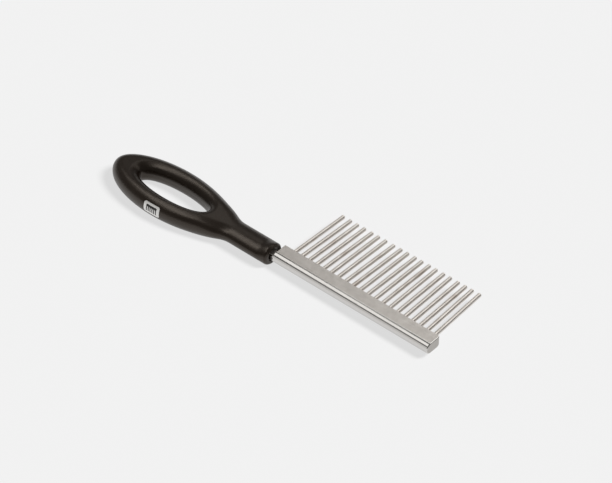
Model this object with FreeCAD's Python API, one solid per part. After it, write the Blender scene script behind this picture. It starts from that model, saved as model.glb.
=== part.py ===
import FreeCAD, Part
import math
import os

# Metal mane and coat comb: twenty round steel teeth pressed into a steel spine bar, whose tang is
# moulded into a plastic handle with a soft skin and a finger loop.
#
# Frame: millimetres. The comb lies flat. +X runs along the comb from the loop to the bar's free
# end, +Y the way the teeth point, +Z up. The origin is the bottom centre of the whole comb's box.

V = FreeCAD.Vector

# Driving dimensions
tooth_count = 20
tooth_pitch = 5.0
tooth_diameter = 2.4
tooth_reach = 39.55          # from the bar's nose to the tip
tooth_seat = 6.0             # length pressed into the bar
tooth_tip_round = 0.7
tooth_root_chamfer = 0.3
tooth_fan_deg = 1.5          # the outermost teeth lean this far towards the middle of the row
tooth_bow_deg = 0.6          # slow wave on top of the fan
tooth_scatter_deg = 0.35     # small uneven lean from hand setting

bar_height = 6.5
bar_flat = 7.1               # width of the flat top
bar_undercut = 2.4           # the flat bottom is this much narrower, as the nose curves in below
bar_end_margin = 4.5         # last tooth's axis to the free end
bar_shoulder_margin = 5.2    # first tooth's axis to the shoulder at the handle
bar_end_round = 0.6
bar_end_corner_round = 2.8   # in plan, where the free end meets the toothed edge
bar_shoulder_round = 0.3

tang_length = 34.0
tang_width = 6.0
tang_height = 3.6
tang_hole_diameter = 3.0
tang_hole_spacing = 11.0
tang_corner_round = 0.8
tang_overlap = 2.0

neck_radius = 6.55
neck_gap = 1.8               # the neck's front face to the bar's shoulder
neck_rim_round = 1.5
neck_recess_radius = 4.75
neck_recess_offset = 1.1     # the recess is this much nearer the bar than the neck's axis
neck_recess_depth = 1.4
neck_recess_round = 0.6
neck_to_flare = 29.5         # the neck's front face to where the loop starts to widen

loop_half_width = 17.85
loop_rear_length = 41.0      # widest place to the rear end
loop_front_length = 45.5     # widest place to the neck
loop_edge_round = 6.3
flare_corner_round = 16.0

hole_half_length = 25.05
hole_half_width = 7.2
hole_edge_round = 5.6
hole_from_widest = 2.4       # the hole's centre is this much nearer the neck than the widest place

skin_thickness = 2.0
core_edge_round = 2.4
core_rim_round = 2.0
core_front_gap = 2.6         # skin left in front of the core, under the recess

bar_from_handle_axis = 2.65  # the bar's centre is this far towards the teeth from the handle axis

badge_length = 11.0          # the badge is centred on the finger hole, on the near limb
badge_height = 6.4
badge_corner_round = 1.2
badge_thickness = 0.8
badge_proud = 0.12
badge_tilt_deg = 14.0        # the badge faces outwards and this much upwards

touch = 1e-3                 # edges closer than this to a plane lie in it

# Derived sizes
tooth_radius = tooth_diameter / 2
back_radius = bar_height / 2
# The nose is one arc from the top flat's edge that runs smoothly into the bottom flat.
nose_radius = (bar_undercut ** 2 + bar_height ** 2) / (2 * bar_height)
bar_nose = nose_radius - bar_undercut          # how far the nose bulges beyond the top flat
bar_width = back_radius + bar_flat + bar_nose
bar_length = bar_shoulder_margin + (tooth_count - 1) * tooth_pitch + bar_end_margin
handle_length = loop_rear_length + loop_front_length + neck_to_flare
comb_length = handle_length + neck_gap + bar_length

# Places along X
rear_x = -comb_length / 2
widest_x = rear_x + loop_rear_length
flare_x = widest_x + loop_front_length
neck_face_x = flare_x + neck_to_flare
shoulder_x = neck_face_x + neck_gap
bar_end_x = shoulder_x + bar_length
first_tooth_x = shoulder_x + bar_shoulder_margin
hole_centre_x = widest_x + hole_from_widest

# Places along Y: the box runs from the loop's near side to the tooth tips
tip_from_handle_axis = bar_from_handle_axis + bar_width / 2 + tooth_reach
handle_y = (loop_half_width - tip_from_handle_axis) / 2
bar_mid_y = handle_y + bar_from_handle_axis
bar_nose_y = bar_mid_y + bar_width / 2
bar_back_y = bar_mid_y - bar_width / 2

# The teeth, bar and handle share one mid plane
mid_z = neck_radius


def wire_face(edges):
    return Part.Face(Part.Wire(edges))


def edges_where(shape, test):
    return [edge for edge in shape.Edges if test(edge)]


def is_vertical(edge, height):
    box = edge.BoundBox
    return box.XLength + box.YLength < touch and abs(box.ZLength - height) < touch


def is_level(edge):
    return edge.BoundBox.ZLength < touch


def handle_outline(inset):
    """Closed outline of loop and neck in the XY plane, drawn inset from the skin's outside."""
    half_width = loop_half_width - inset
    neck_half = neck_radius - inset
    rear = rear_x + inset
    centre = V(widest_x, handle_y, 0)
    ellipse = Part.Ellipse(V(rear, handle_y, 0), V(widest_x, handle_y + half_width, 0), centre)
    # The major axis points to the rear, so the arc from -90 to +90 degrees is the rear half.
    rear_half = ellipse.toShape(-math.pi / 2, math.pi / 2)
    widest_far = V(widest_x, handle_y + half_width, 0)
    widest_near = V(widest_x, handle_y - half_width, 0)
    flare_far = V(flare_x, handle_y + neck_half, 0)
    flare_near = V(flare_x, handle_y - neck_half, 0)
    face_far = V(neck_face_x - inset, handle_y + neck_half, 0)
    face_near = V(neck_face_x - inset, handle_y - neck_half, 0)
    middle_x = (widest_x + flare_x) / 2
    far_flare = Part.BezierCurve()
    far_flare.setPoles([widest_far, V(middle_x, widest_far.y, 0), flare_far])
    near_flare = Part.BezierCurve()
    near_flare.setPoles([flare_near, V(middle_x, widest_near.y, 0), widest_near])
    return [
        rear_half,
        far_flare.toShape(),
        Part.makeLine(flare_far, face_far),
        Part.makeLine(face_far, face_near),
        Part.makeLine(face_near, flare_near),
        near_flare.toShape(),
    ]


def is_hole_rim(edge, inset):
    box = edge.BoundBox
    reach = hole_half_length + inset + touch
    within = box.XMin > hole_centre_x - reach and box.XMax < hole_centre_x + reach
    return is_level(edge) and within


def holed_plate(inset, rim_round):
    """Plate larger than the loop, with the oval finger hole through it and both rims rounded."""
    length = hole_half_length + inset
    width = hole_half_width + inset
    height = 2 * (neck_radius - inset)
    centre = V(hole_centre_x, handle_y, 0)
    ellipse = Part.Ellipse(centre + V(length, 0, 0), centre + V(0, width, 0), centre)
    hole = wire_face([ellipse.toShape()]).extrude(V(0, 0, height))
    reach = comb_length
    corner = V(hole_centre_x - reach, handle_y - reach, 0)
    plate = Part.makeBox(2 * reach, 2 * reach, height, corner).cut(hole)
    return plate.makeFillet(rim_round, edges_where(plate, lambda e: is_hole_rim(e, inset)))


def handle_body(inset, edge_round, rim_round):
    """Loop and neck as one rounded solid, inset from the skin's outside surface."""
    height = 2 * (neck_radius - inset)
    front_x = neck_face_x - inset
    solid = wire_face(handle_outline(inset)).extrude(V(0, 0, height))
    flare_corners = edges_where(
        solid, lambda e: is_vertical(e, height) and abs(e.BoundBox.XMin - flare_x) < touch)
    solid = solid.makeFillet(flare_corner_round + inset, flare_corners)
    long_edges = edges_where(solid, lambda e: is_level(e) and e.BoundBox.XMin < front_x - touch)
    solid = solid.makeFillet(edge_round, long_edges)
    # Where the limbs are narrow the hole's rounding meets the outer one in a low crest.
    solid = solid.common(holed_plate(inset, rim_round))
    solid.translate(V(0, 0, inset))
    return solid.Solids[0]


def round_neck_face(solid):
    """Round the rim of the neck's front face and sink a dished recess into it."""
    rim = edges_where(solid, lambda e: e.BoundBox.XMin > neck_face_x - touch)
    solid = solid.makeFillet(neck_rim_round, rim)
    start = V(neck_face_x - neck_recess_depth, handle_y + neck_recess_offset, mid_z)
    dish = Part.makeCylinder(neck_recess_radius, 2 * neck_recess_depth, start, V(1, 0, 0))
    floor_edge = edges_where(dish, lambda e: e.BoundBox.XMax < neck_face_x)
    dish = dish.makeFillet(neck_recess_round, floor_edge)
    return solid.cut(dish).Solids[0]


def make_tang():
    """Flat tang at the shoulder end of the bar, with cross holes that lock it in the core."""
    start_x = shoulder_x - tang_length
    corner = V(start_x, handle_y - tang_width / 2, mid_z - tang_height / 2)
    # The tang runs a little into the bar, so the two fuse over a face and not along an edge.
    tang = Part.makeBox(tang_length + tang_overlap, tang_width, tang_height, corner)
    along_x = edges_where(tang, lambda e: e.BoundBox.XLength > tang_length)
    tang = tang.makeFillet(tang_corner_round, along_x)
    for step in (1, 2):
        foot = V(start_x + step * tang_hole_spacing - tang_hole_spacing / 2, handle_y, 0)
        hole = Part.makeCylinder(tang_hole_diameter / 2, 2 * mid_z, foot)
        tang = tang.cut(hole)
    return tang


def bar_section():
    """Bar cross-section in the YZ plane: flats, full-round back and a nose drawn in below."""
    top_z = mid_z + bar_height / 2
    bottom_z = mid_z - bar_height / 2
    round_y = bar_back_y + back_radius
    flat_end_y = round_y + bar_flat
    top_back = V(shoulder_x, round_y, top_z)
    top_front = V(shoulder_x, flat_end_y, top_z)
    bottom_back = V(shoulder_x, round_y, bottom_z)
    bottom_front = V(shoulder_x, flat_end_y - bar_undercut, bottom_z)
    back = Part.Arc(bottom_back, V(shoulder_x, bar_back_y, mid_z), top_back).toShape()
    nose_point = V(shoulder_x, bar_nose_y, bottom_z + nose_radius)
    nose = Part.Arc(top_front, nose_point, bottom_front).toShape()
    return [
        back,
        Part.makeLine(top_back, top_front),
        nose,
        Part.makeLine(bottom_front, bottom_back),
    ]


def tooth_lean(index):
    """How far a tooth leans towards the bar's free end, in degrees."""
    along = index / (tooth_count - 1)
    fan = tooth_fan_deg * (1 - 2 * along)
    bow = -tooth_bow_deg * math.cos(2 * math.pi * along)
    scatter = tooth_scatter_deg * math.sin(1.7 * index * index)
    return fan + bow + scatter


def make_tooth(index):
    """One straight pin, chamfered where it is pressed in and rounded at its tip."""
    x = first_tooth_x + index * tooth_pitch
    root_y = bar_nose_y - tooth_seat
    tip_y = bar_nose_y + tooth_reach
    pin = Part.makeCylinder(tooth_radius, tip_y - root_y, V(x, root_y, mid_z), V(0, 1, 0))
    tip_edge = edges_where(pin, lambda e: e.BoundBox.YMin > tip_y - touch)
    pin = pin.makeFillet(tooth_tip_round, tip_edge)
    root_edge = edges_where(pin, lambda e: e.BoundBox.YMax < root_y + touch)
    pin = pin.makeChamfer(tooth_root_chamfer, root_edge)
    pin.rotate(V(x, bar_nose_y, mid_z), V(0, 0, 1), -tooth_lean(index))
    return pin


def bar_plan():
    """Block over the whole bar, with the corner between free end and toothed edge rounded."""
    corner = V(shoulder_x, bar_back_y, 0)
    block = Part.makeBox(bar_length, bar_width, 2 * mid_z, corner)
    at_corner = edges_where(block, lambda e: is_vertical(e, 2 * mid_z)
                            and e.BoundBox.XMin > bar_end_x - touch
                            and e.BoundBox.YMin > bar_nose_y - touch)
    return block.makeFillet(bar_end_corner_round, at_corner)


def make_bar(tang, teeth):
    """Spine bar with its tang and a blind hole for each tooth."""
    bar = wire_face(bar_section()).extrude(V(bar_length, 0, 0)).common(bar_plan())
    rounded_from = bar_end_x - bar_end_corner_round
    free_end = edges_where(bar, lambda e: e.BoundBox.XMin > rounded_from - touch)
    bar = bar.makeFillet(bar_end_round, free_end)
    shoulder = edges_where(bar, lambda e: e.BoundBox.XMax < shoulder_x + touch)
    bar = bar.makeFillet(bar_shoulder_round, shoulder)
    bar = bar.fuse(tang)
    for tooth in teeth:
        bar = bar.cut(tooth)
    return bar.removeSplitter().Solids[0]


def make_core(tang):
    """Rigid core moulded round the tang. Its plastic fills the tang's cross holes."""
    core = handle_body(skin_thickness, core_edge_round, core_rim_round)
    front = Part.makeBox(
        core_front_gap, 2 * mid_z, 2 * mid_z,
        V(neck_face_x - core_front_gap, handle_y - mid_z, 0))
    return core.cut(front).cut(tang).Solids[0]


def make_badge():
    """Thin plate let into the outside of the loop's near limb, following its round surface."""
    block = Part.makeBox(
        badge_length, loop_half_width, badge_height,
        V(-badge_length / 2, -loop_half_width, -badge_height / 2))
    corners = edges_where(block, lambda e: e.BoundBox.YLength > loop_half_width - touch)
    block = block.makeFillet(badge_corner_round, corners)
    block.rotate(V(0, 0, 0), V(1, 0, 0), -badge_tilt_deg)
    block.translate(V(hole_centre_x, handle_y - loop_half_width + loop_edge_round, mid_z))
    outside = handle_body(-badge_proud, loop_edge_round + badge_proud, hole_edge_round)
    inside = handle_body(badge_thickness, loop_edge_round - badge_thickness, hole_edge_round)
    return block.common(outside).cut(inside).Solids[0]


def make_skin(core, tang, badge):
    """Soft outer skin: the handle's whole outside, hollowed where core, tang and badge sit."""
    skin = handle_body(0, loop_edge_round, hole_edge_round)
    skin = round_neck_face(skin)
    return skin.cut(core).cut(tang).cut(badge).Solids[0]


def build():
    tang = make_tang()
    teeth = [make_tooth(index) for index in range(tooth_count)]
    core = make_core(tang)
    badge = make_badge()
    nodes = {
        "spine_bar": make_bar(tang, teeth),
        "handle_core": core,
        "handle_grip": make_skin(core, tang, badge),
        "badge_plate": badge,
    }
    for index, tooth in enumerate(teeth):
        nodes[f"tooth_{index + 1:02d}"] = tooth
    return nodes


os.makedirs("parts", exist_ok=True)
for name, shape in build().items():
    shape.exportStep(f"parts/{name}.step")
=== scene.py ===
import math

import bmesh
import bpy
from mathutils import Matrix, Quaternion, Vector
from mathutils.bvhtree import BVHTree
from mathutils.geometry import barycentric_transform


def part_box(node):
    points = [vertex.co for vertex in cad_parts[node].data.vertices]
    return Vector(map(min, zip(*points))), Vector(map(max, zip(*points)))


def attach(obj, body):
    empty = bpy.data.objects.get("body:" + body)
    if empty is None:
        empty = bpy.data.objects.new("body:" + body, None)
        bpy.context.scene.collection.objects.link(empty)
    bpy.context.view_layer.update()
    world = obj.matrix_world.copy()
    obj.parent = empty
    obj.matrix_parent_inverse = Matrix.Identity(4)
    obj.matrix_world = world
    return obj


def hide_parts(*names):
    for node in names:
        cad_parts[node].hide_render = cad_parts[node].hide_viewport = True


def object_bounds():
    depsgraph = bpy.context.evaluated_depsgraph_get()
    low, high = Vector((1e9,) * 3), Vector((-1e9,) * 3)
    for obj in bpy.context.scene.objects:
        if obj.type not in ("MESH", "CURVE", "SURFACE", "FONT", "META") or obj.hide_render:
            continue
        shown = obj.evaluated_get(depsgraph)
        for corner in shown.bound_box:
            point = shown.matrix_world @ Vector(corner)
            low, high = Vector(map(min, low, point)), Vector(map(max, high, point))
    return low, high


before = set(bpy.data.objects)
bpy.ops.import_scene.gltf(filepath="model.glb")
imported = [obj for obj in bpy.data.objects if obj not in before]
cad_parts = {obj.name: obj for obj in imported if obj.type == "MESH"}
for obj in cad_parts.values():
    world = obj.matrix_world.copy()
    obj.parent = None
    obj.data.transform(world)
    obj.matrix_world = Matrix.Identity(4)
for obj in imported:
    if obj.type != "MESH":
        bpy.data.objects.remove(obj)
cad_low, cad_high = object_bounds()

# ---------------------------------------------------------------- places taken from the frame

MM = 0.001
BODY = "root"
TEETH = sorted(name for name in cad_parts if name.startswith("tooth_"))

grip_low, grip_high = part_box("handle_grip")
badge_low, badge_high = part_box("badge_plate")
neck_face_x = grip_high.x
axis_y = (grip_low.y + grip_high.y) / 2
mid_z = (grip_low.z + grip_high.z) / 2
badge_size = (badge_high - badge_low).length
object_centre = (cad_low + cad_high) / 2


# ---------------------------------------------------------------- node helpers

def new_material(name):
    """A node material with its tree and its Principled shader."""
    material = bpy.data.materials.new(name)
    material.use_nodes = True
    tree = material.node_tree
    return material, tree, tree.nodes["Principled BSDF"]


def feed(tree, socket, value):
    """Gives a socket its value, or links another node's output to it."""
    if isinstance(value, bpy.types.NodeSocket):
        tree.links.new(value, socket)
    else:
        socket.default_value = value


def add_node(tree, kind, inputs=None, **settings):
    """A shader node. An input may be a value or another node's output socket."""
    made = tree.nodes.new(kind)
    for key, value in settings.items():
        setattr(made, key, value)
    for key, value in (inputs or {}).items():
        feed(tree, made.inputs[key], value)
    return made


def set_shader(tree, shader, settings):
    for key, value in settings.items():
        feed(tree, shader.inputs[key], value)


def millimetres(tree):
    """Object coordinates in millimetres. Every object sits at the origin of the row frame."""
    coordinates = add_node(tree, "ShaderNodeTexCoord")
    scaled = add_node(tree, "ShaderNodeVectorMath", {
        0: coordinates.outputs["Object"], "Scale": 1 / MM}, operation="SCALE")
    return scaled.outputs[0]


def noise(tree, place, scale, detail, roughness):
    """Noise from 0 to 1. The scale is in cells per millimetre, or one such number per axis."""
    if isinstance(scale, tuple):
        place = add_node(tree, "ShaderNodeMapping", {"Vector": place, "Scale": scale}).outputs[0]
        scale = 1.0
    made = add_node(tree, "ShaderNodeTexNoise", {
        "Vector": place, "Scale": scale, "Detail": detail, "Roughness": roughness})
    return made.outputs["Fac"]


def remap(tree, value, low, high, from_low=0.3, from_high=0.7):
    """Spreads a value between low and high. Noise mostly lies between 0.3 and 0.7."""
    made = add_node(tree, "ShaderNodeMapRange", {
        "Value": value, "From Min": from_low, "From Max": from_high,
        "To Min": low, "To Max": high})
    return made.outputs["Result"]


def maths(tree, operation, first, second=0.0):
    made = add_node(tree, "ShaderNodeMath", {0: first, 1: second}, operation=operation)
    return made.outputs[0]


def scaled_sum(tree, first, second, share):
    return maths(tree, "ADD", first, maths(tree, "MULTIPLY", second, share))


def mix_value(tree, factor, first, second):
    made = add_node(tree, "ShaderNodeMix", {"Factor": factor, 2: first, 3: second},
                    data_type="FLOAT")
    return made.outputs[0]


def mix_colour(tree, factor, first, second):
    made = add_node(tree, "ShaderNodeMix", {"Factor": factor, 6: first, 7: second},
                    data_type="RGBA")
    return made.outputs[2]


def bump(tree, height, depth, strength):
    """A normal from a height pattern whose full relief is depth, in metres."""
    made = add_node(tree, "ShaderNodeBump", {
        "Height": height, "Distance": depth, "Strength": strength})
    return made.outputs[0]


def true_normal(tree):
    """The surface normal's three parts, in the row frame."""
    geometry = add_node(tree, "ShaderNodeNewGeometry")
    return add_node(tree, "ShaderNodeSeparateXYZ", {"Vector": geometry.outputs["Normal"]}).outputs


# ---------------------------------------------------------------- materials

def bar_steel():
    """Stainless bar: flats brushed along X, back and nose polished, free end finely sawn."""
    clean = (0.685, 0.652, 0.62, 1)
    dull = (0.6, 0.57, 0.538, 1)
    scored = (0.5, 0.475, 0.445, 1)
    polished = (0.64, 0.624, 0.606, 1)
    sawn = (0.47, 0.45, 0.425, 1)
    relief_depth = 0.01 * MM
    polished_relief = 0.12        # how much of the brushing is left where the bar is polished

    material, tree, shader = new_material("bar_stainless")
    place = millimetres(tree)
    normal_x, _, normal_z = true_normal(tree)
    on_flat = remap(tree, maths(tree, "ABSOLUTE", normal_z), 0.0, 1.0,
                    from_low=0.9975, from_high=0.9997)
    on_end = remap(tree, maths(tree, "ABSOLUTE", normal_x), 0.0, 1.0,
                   from_low=0.85, from_high=0.97)

    lines = noise(tree, place, scale=(0.035, 6.0, 6.0), detail=4.0, roughness=0.6)
    fine_lines = noise(tree, place, scale=(0.12, 22.0, 22.0), detail=2.0, roughness=0.5)
    saw_lines = noise(tree, place, scale=(1.0, 0.3, 9.0), detail=3.0, roughness=0.6)
    clouds = noise(tree, place, scale=0.22, detail=4.0, roughness=0.62)
    smudges = noise(tree, place, scale=(0.1225, 0.28, 0.28), detail=3.0, roughness=0.55)

    colour = mix_colour(tree, remap(tree, clouds, 0.0, 0.75), clean, dull)
    colour = mix_colour(tree, remap(tree, lines, 0.0, 0.22), colour, scored)
    colour = mix_colour(tree, on_flat, polished, colour)
    colour = mix_colour(tree, on_end, colour, sawn)

    flat_rough = maths(tree, "ADD", remap(tree, clouds, 0.38, 0.5), remap(tree, lines, -0.03, 0.05))
    rough = mix_value(tree, on_flat, remap(tree, smudges, 0.1, 0.2), flat_rough)
    rough = mix_value(tree, on_end, rough, remap(tree, saw_lines, 0.32, 0.5))

    brushing = scaled_sum(tree, lines, fine_lines, share=0.5)
    relief = mix_value(tree, on_flat, maths(tree, "MULTIPLY", brushing, polished_relief), brushing)
    relief = mix_value(tree, on_end, relief, saw_lines)
    set_shader(tree, shader, {
        "Base Color": colour,
        "Metallic": 1.0,
        "Roughness": rough,
        "Normal": bump(tree, relief, relief_depth, strength=0.7),
    })
    return material


def tooth_steel():
    """Drawn stainless wire: satin, with faint lines along the tooth and a few stains."""
    clean = (0.745, 0.705, 0.665, 1)
    dull = (0.66, 0.615, 0.57, 1)
    stained = (0.5, 0.43, 0.38, 1)
    relief_depth = 0.0008 * MM

    material, tree, shader = new_material("tooth_stainless")
    place = millimetres(tree)
    lines = noise(tree, place, scale=(9.0, 0.05, 9.0), detail=3.0, roughness=0.6)
    clouds = noise(tree, place, scale=(0.5, 0.175, 0.5), detail=3.0, roughness=0.6)
    stains = noise(tree, place, scale=(0.16, 0.06, 0.16), detail=2.0, roughness=0.5)
    stained_part = remap(tree, stains, 0.0, 0.7, from_low=0.6, from_high=0.72)
    colour = mix_colour(tree, remap(tree, clouds, 0.0, 0.8), clean, dull)
    colour = mix_colour(tree, stained_part, colour, stained)
    rough = maths(tree, "ADD", remap(tree, clouds, 0.34, 0.44), remap(tree, lines, -0.03, 0.03))
    set_shader(tree, shader, {
        "Base Color": colour,
        "Metallic": 1.0,
        "Roughness": rough,
        "Normal": bump(tree, lines, relief_depth, strength=0.5),
    })
    return material


def soft_touch():
    """Black soft-touch skin: warm black, satin, with a very fine moulded grain and rub marks."""
    black = (0.021, 0.0145, 0.0105, 1)
    rubbed = (0.0265, 0.0185, 0.0135, 1)
    warm_shine = (1.0, 0.88, 0.77, 1)
    relief_depth = 0.006 * MM

    material, tree, shader = new_material("soft_touch_black")
    place = millimetres(tree)
    grain = noise(tree, place, scale=5.5, detail=3.0, roughness=0.6)
    fine_grain = noise(tree, place, scale=14.0, detail=2.0, roughness=0.5)
    rub = noise(tree, place, scale=(0.06, 0.16, 0.16), detail=4.0, roughness=0.6)
    rough = maths(tree, "ADD", remap(tree, rub, 0.27, 0.34), remap(tree, grain, -0.015, 0.015))
    relief = scaled_sum(tree, grain, fine_grain, share=0.6)
    set_shader(tree, shader, {
        "Base Color": mix_colour(tree, remap(tree, rub, 0.0, 1.0), black, rubbed),
        "Roughness": rough,
        "Specular Tint": warm_shine,
        "Normal": bump(tree, relief, relief_depth, strength=0.4),
    })
    return material


def core_plastic():
    """Hidden rigid core: moulded black polypropylene."""
    black = (0.02, 0.02, 0.021, 1)
    flow_marked = (0.035, 0.035, 0.036, 1)
    relief_depth = 0.05 * MM

    material, tree, shader = new_material("core_black_plastic")
    place = millimetres(tree)
    flow = noise(tree, place, scale=(0.05, 0.3, 0.3), detail=4.0, roughness=0.6)
    set_shader(tree, shader, {
        "Base Color": mix_colour(tree, flow, black, flow_marked),
        "Roughness": remap(tree, flow, 0.45, 0.6),
        "Normal": bump(tree, flow, relief_depth, strength=0.4),
    })
    return material


def badge_metal():
    """Satin silver plate with fine brushing along its length."""
    silver = (0.86, 0.85, 0.83, 1)
    dull = (0.74, 0.73, 0.71, 1)
    relief_depth = 0.006 * MM

    material, tree, shader = new_material("badge_silver")
    place = millimetres(tree)
    lines = noise(tree, place, scale=(0.25, 9.0, 9.0), detail=3.0, roughness=0.6)
    clouds = noise(tree, place, scale=0.8, detail=3.0, roughness=0.5)
    set_shader(tree, shader, {
        "Base Color": mix_colour(tree, remap(tree, clouds, 0.0, 0.6), silver, dull),
        "Metallic": 0.55,
        "Roughness": remap(tree, lines, 0.3, 0.45),
        "Normal": bump(tree, lines, relief_depth, strength=0.5),
    })
    return material


def mark_enamel():
    """Dark printed enamel, a little uneven."""
    dark = (0.02, 0.017, 0.015, 1)
    less_dark = (0.03, 0.026, 0.023, 1)
    relief_depth = 0.01 * MM

    material, tree, shader = new_material("mark_enamel")
    place = millimetres(tree)
    grain = noise(tree, place, scale=4.0, detail=3.0, roughness=0.6)
    set_shader(tree, shader, {
        "Base Color": mix_colour(tree, remap(tree, grain, 0.0, 1.0), dark, less_dark),
        "Roughness": remap(tree, grain, 0.38, 0.5),
        "Normal": bump(tree, grain, relief_depth, strength=0.4),
    })
    return material


# ---------------------------------------------------------------- dressing the CAD nodes

def dress(node_name, material):
    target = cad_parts[node_name]
    target.data.materials.clear()
    target.data.materials.append(material)


dress("spine_bar", bar_steel())
wire = tooth_steel()
for tooth_name in TEETH:
    dress(tooth_name, wire)
dress("handle_core", core_plastic())
dress("badge_plate", badge_metal())


# ---------------------------------------------------------------- pieces built here

# The handle's skin. Its neck is an oval, flatter and wider than the loop's limbs are thick, and it
# swells a little again at the front face. Distances are back from that face.
THINNING_STARTS = 46.5 * MM
THINNING_ENDS = 26.5 * MM
SWELLING_STARTS = 7.5 * MM
SWELLING_ENDS = 1.0 * MM
SWELLING_SHARE = 0.6          # how much of the way back to round
NECK_THINNER = 0.26           # share of the height lost where the neck is flattest
NECK_WIDER = 0.145            # share of the width gained there
SLICE = 0.8 * MM
CORE_FIT = 0.4 * MM           # surfaces nearer the core or tang than this are the cavity's
WELD = 0.0002 * MM            # vertices closer than this are one
CUT_TOLERANCE = 0.001 * MM
SLOPE_STEP = 0.01 * MM
CORNER_INSET = 0.03           # a corner's normal is read this share of the way to its face's middle


def new_object(name, mesh):
    made = bpy.data.objects.new(name, mesh)
    bpy.context.scene.collection.objects.link(made)
    return made


def ramp(value, start, end):
    """0 before start, 1 after end, smooth between."""
    part = min(max((value - start) / (end - start), 0.0), 1.0)
    return part * part * (3 - 2 * part)


def oval_share(x):
    """How far the neck has gone from the loop's thickness (0) to its flattest section (1)."""
    thinned = ramp(x, neck_face_x - THINNING_STARTS, neck_face_x - THINNING_ENDS)
    swollen = ramp(x, neck_face_x - SWELLING_STARTS, neck_face_x - SWELLING_ENDS)
    return thinned * (1 - SWELLING_SHARE * swollen)


def oval_factors(share):
    """What width and height are multiplied by where the neck is this far to its flattest."""
    return 1 + NECK_WIDER * share, 1 - NECK_THINNER * share


def oval_normal(place, share, normal):
    """The normal that a round neck's normal becomes on the oval one."""
    before, after = place.x - SLOPE_STEP, place.x + SLOPE_STEP
    slope = (oval_share(after) - oval_share(before)) / (2 * SLOPE_STEP)
    wide, thin = oval_factors(share)
    along = (normal.x
             - (place.y - axis_y) * NECK_WIDER * slope / wide * normal.y
             + (place.z - mid_z) * NECK_THINNER * slope / thin * normal.z)
    return Vector((along, normal.y / wide, normal.z / thin))


def surface_tree(mesh):
    """The mesh as a search tree, with its points, triangles and their corner normals."""
    mesh.calc_loop_triangles()
    triangles = [tuple(t.vertices) for t in mesh.loop_triangles]
    corners = [[mesh.corner_normals[i].vector.copy() for i in t.loops]
               for t in mesh.loop_triangles]
    points = [v.co.copy() for v in mesh.vertices]
    return BVHTree.FromPolygons(points, triangles), points, triangles, corners


def sliced_skin(source):
    """The CAD skin as triangles, cut across its neck so that the neck can change section."""
    shape = bmesh.new()
    shape.from_mesh(source)
    bmesh.ops.remove_doubles(shape, verts=shape.verts, dist=WELD)
    x = neck_face_x - THINNING_STARTS
    while x < neck_face_x:
        everything = shape.verts[:] + shape.edges[:] + shape.faces[:]
        bmesh.ops.bisect_plane(shape, geom=everything, dist=CUT_TOLERANCE,
                               plane_co=(x, 0, 0), plane_no=(1, 0, 0))
        x += SLICE
    bmesh.ops.triangulate(shape, faces=shape.faces[:])
    mesh = bpy.data.meshes.new("handle_skin")
    shape.to_mesh(mesh)
    shape.free()
    return mesh


def handle_skin():
    """The skin, cut into thin slices along the neck and drawn to its oval section."""
    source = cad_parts["handle_grip"].data
    skin_tree, points, triangles, corner_normals = surface_tree(source)
    inner_trees = [surface_tree(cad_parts[name].data)[0]
                   for name in ("handle_core", "spine_bar")]
    mesh = sliced_skin(source)

    def in_cavity(place):
        return any(tree.find_nearest(place, CORE_FIT)[0] is not None for tree in inner_trees)

    round_places = [v.co.copy() for v in mesh.vertices]
    shares = [0.0] * len(round_places)
    for index, place in enumerate(round_places):
        share = oval_share(place.x)
        if share > 0 and not in_cavity(place):
            shares[index] = share

    normals = []
    for face in mesh.polygons:
        middle = sum((round_places[i] for i in face.vertices), Vector()) / len(face.vertices)
        for index in face.vertices:
            place = round_places[index].lerp(middle, CORNER_INSET)
            hit, _, triangle, _ = skin_tree.find_nearest(place)
            a, b, c = (points[i] for i in triangles[triangle])
            normal = barycentric_transform(hit, a, b, c, *corner_normals[triangle])
            if shares[index] > 0:
                normal = oval_normal(place, shares[index], normal)
            normals.append(normal.normalized())
    for place, share, vertex in zip(round_places, shares, mesh.vertices):
        wide, thin = oval_factors(share)
        vertex.co = (place.x,
                     axis_y + (place.y - axis_y) * wide,
                     mid_z + (place.z - mid_z) * thin)
    mesh.polygons.foreach_set("use_smooth", [True] * len(mesh.polygons))
    mesh.normals_split_custom_set(normals)
    mesh.update()
    mesh.materials.append(soft_touch())

    made = new_object("handle_skin", mesh)
    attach(made, BODY)
    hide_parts("handle_grip")
    return made


# The mark on the badge: a plain comb, laid on the plate as a thin dark enamel.
MARK_LENGTH = 7.2 * MM
MARK_SPINE = 1.35 * MM        # height of the figure's spine
MARK_HEIGHT = 4.0 * MM
MARK_TEETH = 6
MARK_CELL = 0.22 * MM         # about the side of one cell of its mesh
MARK_PROUD = 0.05 * MM
MARK_SUNK = 0.01 * MM
BADGE_TILT = math.radians(14)


def spread(start, end, parts):
    """Evenly spaced places from start up to, but not with, end."""
    return [start + (end - start) * i / parts for i in range(parts)]


def cell_corners(i, j):
    return [(i, j), (i + 1, j), (i + 1, j + 1), (i, j + 1)]


def mark_grid(shape, across, heights):
    """Pairs of vertices over and under the plate's surface, for each place that meets it."""
    plate = surface_tree(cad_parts["badge_plate"].data)[0]
    centre = (badge_low + badge_high) / 2
    along = Vector((1, 0, 0))
    outward = Vector((0, -math.cos(BADGE_TILT), math.sin(BADGE_TILT)))
    rise = outward.cross(along)
    grid = {}
    for i, u in enumerate(across):
        for j, v in enumerate(heights):
            start = centre + along * u + rise * v + outward * badge_size
            hit = plate.ray_cast(start, -outward)[0]
            if hit is not None:
                grid[i, j] = (shape.verts.new(hit + outward * MARK_PROUD),
                              shape.verts.new(hit - outward * MARK_SUNK))
    return grid


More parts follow.
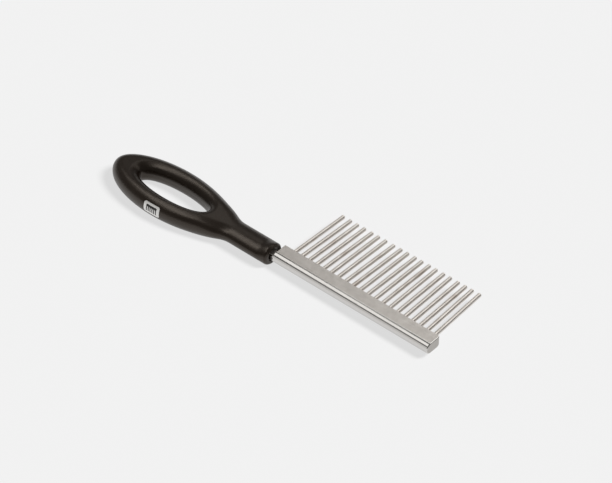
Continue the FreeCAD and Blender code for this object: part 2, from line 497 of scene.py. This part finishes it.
def badge_mark():
    """Comb figure as a thin closed shell that follows the plate's curve."""
    columns = 2 * MARK_TEETH - 1
    cuts = max(2, round(MARK_LENGTH / columns / MARK_CELL))
    across = spread(-MARK_LENGTH / 2, MARK_LENGTH / 2, columns * cuts) + [MARK_LENGTH / 2]
    spine_rows = round(MARK_SPINE / MARK_CELL)
    tooth_rows = round((MARK_HEIGHT - MARK_SPINE) / MARK_CELL)
    spine_low = MARK_HEIGHT / 2 - MARK_SPINE
    heights = spread(-MARK_HEIGHT / 2, spine_low, tooth_rows)
    heights += spread(spine_low, MARK_HEIGHT / 2, spine_rows) + [MARK_HEIGHT / 2]

    shape = bmesh.new()
    grid = mark_grid(shape, across, heights)
    used = set()
    for i in range(len(across) - 1):
        on_tooth = (i // cuts) % 2 == 0
        for j in range(len(heights) - 1):
            if (j >= tooth_rows or on_tooth) and all(key in grid for key in cell_corners(i, j)):
                used.add((i, j))
    for i, j in used:
        around = cell_corners(i, j)
        shape.faces.new([grid[key][0] for key in around])
        shape.faces.new([grid[key][1] for key in reversed(around)])
        beside = [(i, j - 1), (i + 1, j), (i, j + 1), (i - 1, j)]
        for side, neighbour in enumerate(beside):
            if neighbour not in used:
                first = grid[around[side]]
                second = grid[around[(side + 1) % len(around)]]
                shape.faces.new([first[1], second[1], second[0], first[0]])
    loose = [v for v in shape.verts if not v.link_faces]
    bmesh.ops.delete(shape, geom=loose, context="VERTS")
    bmesh.ops.recalc_face_normals(shape, faces=shape.faces[:])
    mesh = bpy.data.meshes.new("badge_mark")
    shape.to_mesh(mesh)
    shape.free()
    mesh.materials.append(mark_enamel())

    made = new_object("badge_mark", mesh)
    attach(made, BODY)
    return made


skin = handle_skin()
mark = badge_mark()


# ---------------------------------------------------------------- stage, light and camera

VIEW_ELEVATION = math.radians(41.4)
VIEW_TURN = math.radians(41.21)
VIEW_ROLL = math.radians(0.25)
VIEW_DISTANCE = 1.1994
SENSOR_WIDTH = 36.0
LENS = 133.105
AIM_FROM_CENTRE = (0.0105, 0.0043)
AIM = Vector((object_centre.x + AIM_FROM_CENTRE[0], object_centre.y + AIM_FROM_CENTRE[1], mid_z))

# Directions as the camera sees them: to its right, away from it over the floor, and up.
RIGHT = Vector((math.cos(VIEW_TURN), math.sin(VIEW_TURN), 0))
AWAY = Vector((-math.sin(VIEW_TURN), math.cos(VIEW_TURN), 0))
UP = Vector((0, 0, 1))

STUDIO_WHITE = (1, 0.99, 0.97, 1)
WORLD_RADIANCE = 0.12

# The table gives off most of its light itself, so that the shadow on it stays even.
FLOOR_REACH = 6.0
FLOOR_ALBEDO = 0.05
FLOOR_GLOW = 0.69

# The sun lights the table only, and so shapes the comb's shadow.
SUN_STRENGTH = 15.2
SUN_ANGLE = math.radians(20)
SUN_TOWARDS = RIGHT * 0.76 - AWAY * 0.28 + UP

# Softboxes. Azimuth 0 is beyond the comb and 90 to the camera's right. All angles are in degrees;
# wide and high are the angles that a softbox fills as seen from the comb.
PANEL_DISTANCE = 1.6
STEEL_PANELS = {
    "steel_main": {"azimuth": -76, "elevation": 59, "wide": 56, "high": 24, "radiance": 1.1},
    "steel_far": {"azimuth": -12, "elevation": 7, "wide": 96, "high": 20, "radiance": 0.9},
    "steel_right_wall": {"azimuth": 38, "elevation": 38, "wide": 56, "high": 52, "radiance": 1.06},
    "steel_right": {"azimuth": 76, "elevation": 54, "wide": 34, "high": 26, "radiance": 0.7},
    "steel_left_low": {"azimuth": -112, "elevation": 11, "wide": 60, "high": 30, "radiance": 0.6},
}
GRIP_PANELS = {
    "grip_main": {"azimuth": -76, "elevation": 58, "wide": 50, "high": 14, "radiance": 3.2},
    "grip_far": {"azimuth": -12, "elevation": 4, "wide": 96, "high": 12, "radiance": 0.8},
    "grip_right_wall": {"azimuth": 34, "elevation": 56, "wide": 60, "high": 20, "radiance": 0.75},
    "grip_right": {"azimuth": 84, "elevation": 36, "wide": 36, "high": 36, "radiance": 0.5},
}


def panel_glow(name, radiance):
    """One-sided glow, a little warm, that anything behind it still shines through."""
    material = bpy.data.materials.new(name)
    material.use_nodes = True
    tree = material.node_tree
    tree.nodes.clear()
    geometry = add_node(tree, "ShaderNodeNewGeometry")
    front = add_node(tree, "ShaderNodeEmission", {"Color": STUDIO_WHITE, "Strength": radiance})
    clear = add_node(tree, "ShaderNodeBsdfTransparent")
    glowing = add_node(tree, "ShaderNodeAddShader", {0: front.outputs[0], 1: clear.outputs[0]})
    side = add_node(tree, "ShaderNodeMixShader", {
        0: geometry.outputs["Backfacing"], 1: glowing.outputs[0], 2: clear.outputs[0]})
    add_node(tree, "ShaderNodeOutputMaterial", {"Surface": side.outputs[0]})
    return material


def stage_quad(name, corners, material):
    mesh = bpy.data.meshes.new(name)
    mesh.from_pydata([tuple(c) for c in corners], [], [(0, 1, 2, 3)])
    mesh.materials.append(material)
    made = new_object(name, mesh)
    return made


def panel(name, azimuth, elevation, wide, high, radiance):
    """A flat softbox facing the comb."""
    turn = math.radians(azimuth)
    rise = math.radians(elevation)
    level = RIGHT * math.sin(turn) + AWAY * math.cos(turn)
    towards = level * math.cos(rise) + UP * math.sin(rise)
    across = level.cross(UP)
    along = across.cross(towards)
    half_wide = across * PANEL_DISTANCE * math.tan(math.radians(wide / 2))
    half_high = along * PANEL_DISTANCE * math.tan(math.radians(high / 2))
    centre = object_centre + towards * PANEL_DISTANCE
    corners = [centre - half_wide - half_high, centre - half_wide + half_high,
               centre + half_wide + half_high, centre + half_wide - half_high]
    facing = (corners[1] - corners[0]).cross(corners[2] - corners[1])
    if facing.dot(towards) > 0:
        corners.reverse()
    made = stage_quad(name, corners, panel_glow(name, radiance))
    made.visible_shadow = False
    return made


def shine_only_on(light, targets):
    """Keeps a light's glow off everything but the objects named."""
    lit = bpy.data.collections.new(light.name + "_lights")
    for target in targets:
        lit.objects.link(target)
    light.light_linking.receiver_collection = lit


def floor():
    """Pale seamless table."""
    corners = [Vector((-FLOOR_REACH, -FLOOR_REACH, 0)), Vector((FLOOR_REACH, -FLOOR_REACH, 0)),
               Vector((FLOOR_REACH, FLOOR_REACH, 0)), Vector((-FLOOR_REACH, FLOOR_REACH, 0))]
    material, tree, shader = new_material("pale_table")
    set_shader(tree, shader, {
        "Base Color": (FLOOR_ALBEDO, FLOOR_ALBEDO, FLOOR_ALBEDO, 1),
        "Roughness": 1.0,
        "Specular IOR Level": 0.0,
        "Emission Color": (1, 1, 1, 1),
        "Emission Strength": FLOOR_GLOW,
    })
    return stage_quad("floor", corners, material)


def shadow_sun(table):
    light = bpy.data.lights.new("shadow_sun", "SUN")
    light.energy = SUN_STRENGTH
    light.angle = SUN_ANGLE
    made = new_object("shadow_sun", light)
    made.rotation_euler = SUN_TOWARDS.to_track_quat("Z", "Y").to_euler()
    shine_only_on(made, [table])


def world_light():
    world = bpy.data.worlds.new("studio")
    bpy.context.scene.world = world
    world.use_nodes = True
    background = world.node_tree.nodes["Background"]
    background.inputs["Color"].default_value = STUDIO_WHITE
    background.inputs["Strength"].default_value = WORLD_RADIANCE


def camera():
    made = new_object("camera", bpy.data.cameras.new("camera"))
    look = AWAY * math.cos(VIEW_ELEVATION) - UP * math.sin(VIEW_ELEVATION)
    made.location = AIM - look * VIEW_DISTANCE
    made.rotation_mode = "QUATERNION"
    turned = look.to_track_quat("-Z", "Y")
    made.rotation_quaternion = turned @ Quaternion((0, 0, 1), VIEW_ROLL)
    made.data.sensor_width = SENSOR_WIDTH
    made.data.lens = LENS
    bpy.context.scene.camera = made


steel_parts = [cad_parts[name] for name in ["spine_bar", "badge_plate"] + TEETH]
grip_parts = [skin, mark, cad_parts["handle_core"]]

world_light()
for panels, lit_parts in ((STEEL_PANELS, steel_parts), (GRIP_PANELS, grip_parts)):
    for panel_name, setting in panels.items():
        shine_only_on(panel(panel_name, **setting), lit_parts)
shadow_sun(floor())
camera()
bpy.context.scene.view_settings.view_transform = "Standard"
